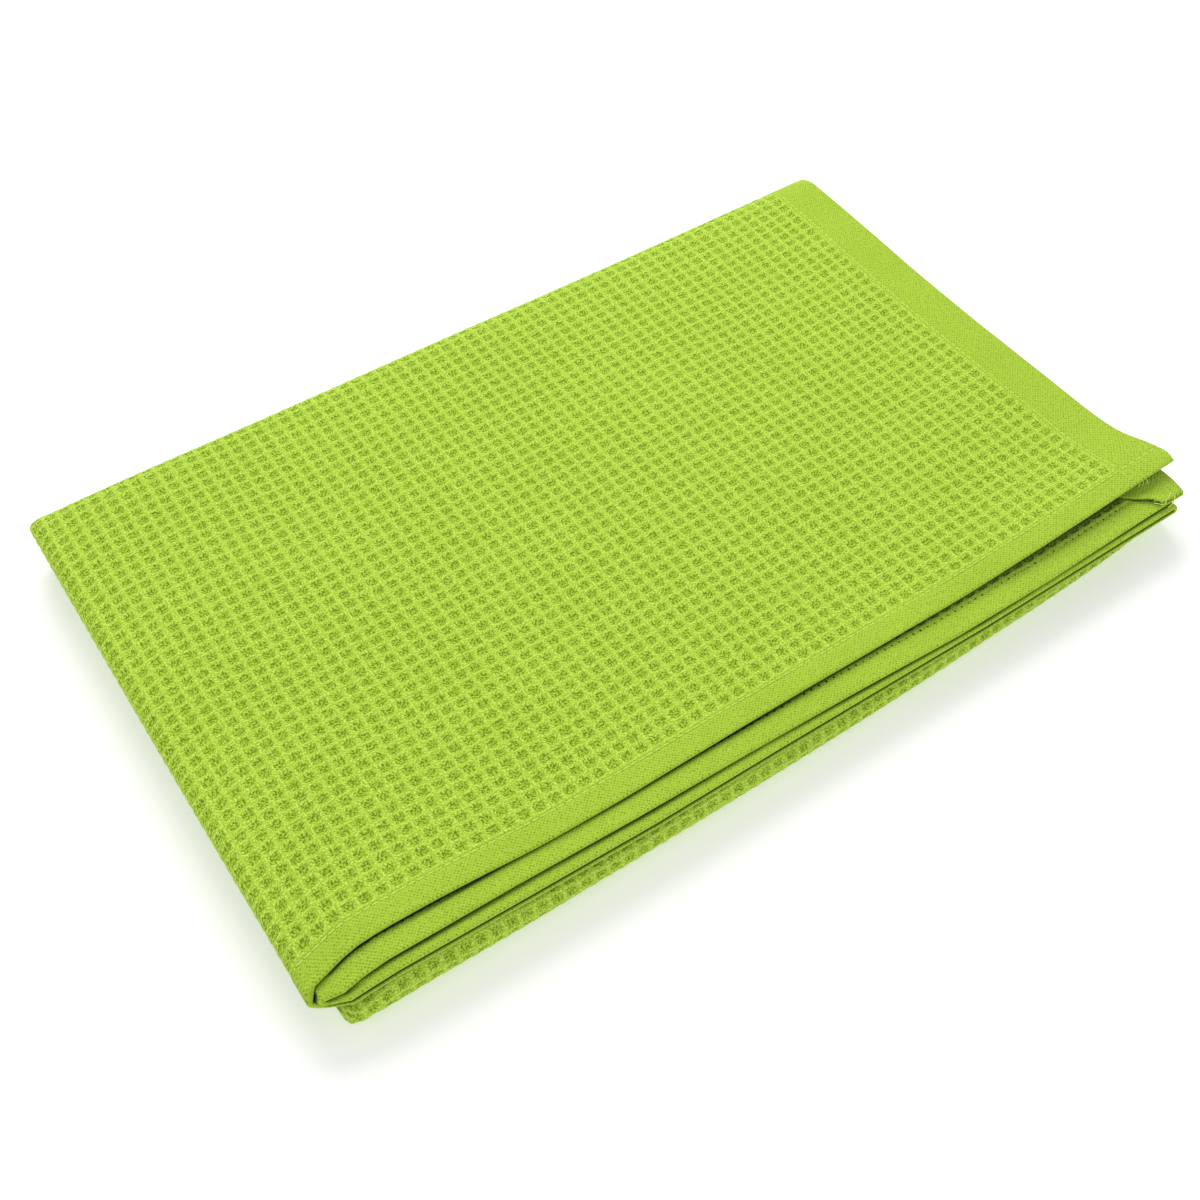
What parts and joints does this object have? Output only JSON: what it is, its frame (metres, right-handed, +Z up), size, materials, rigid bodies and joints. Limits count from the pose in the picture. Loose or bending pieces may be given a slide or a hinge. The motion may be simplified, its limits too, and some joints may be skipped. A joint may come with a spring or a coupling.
{
  "type": "folded waffle towel",
  "caption": "Lime green waffle-weave bath towel with plain hemmed edges, folded into a flat rectangular pad that lies on its broad face.",
  "frame": {"origin": "centre of the folded pad's base, on the surface that it lies on", "axes": "+X along the long side, from the folded end to the end with the wide hem; +Y from the open front, where the side hems show, to the folded back; +Z up"},
  "size_m": [0.3872, 0.2592, 0.0275],
  "materials": {
    "waffle_cotton": "matte waffle-weave cotton, lime green, with plain-weave hems"
  },
  "bodies": {
    "root": {"towel": "waffle_cotton"}
  },
  "joints": []
}
